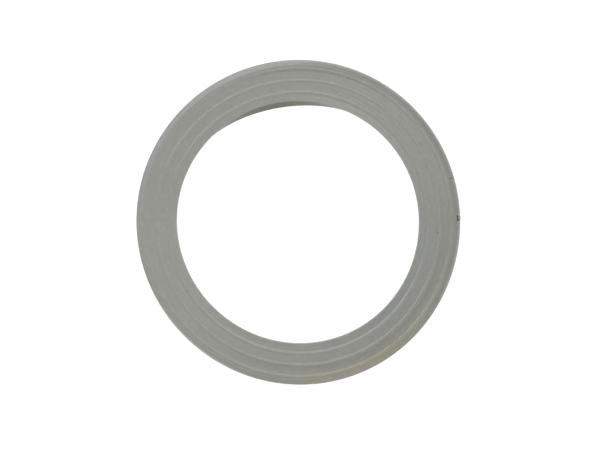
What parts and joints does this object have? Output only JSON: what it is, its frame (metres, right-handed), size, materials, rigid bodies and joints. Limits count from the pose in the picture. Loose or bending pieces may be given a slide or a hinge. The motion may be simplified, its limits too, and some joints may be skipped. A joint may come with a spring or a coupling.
{
  "type": "blender seal ring",
  "caption": "Flat moulded silicone seal ring with three low round-crested concentric ribs on its upper face, a bevelled rim and a plain round bore, for the base collar of a jug blender.",
  "frame": {"origin": "on the ring's axis, at the plain underside", "axes": "+Z along the ring's axis, towards the ribbed face; the ring is round, so X and Y are any two square directions in its plane"},
  "size_m": [0.08, 0.08, 0.004],
  "materials": {
    "silicone": "satin matte, slightly translucent warm grey silicone"
  },
  "bodies": {
    "root": {"seal_ring": "silicone"}
  },
  "joints": []
}
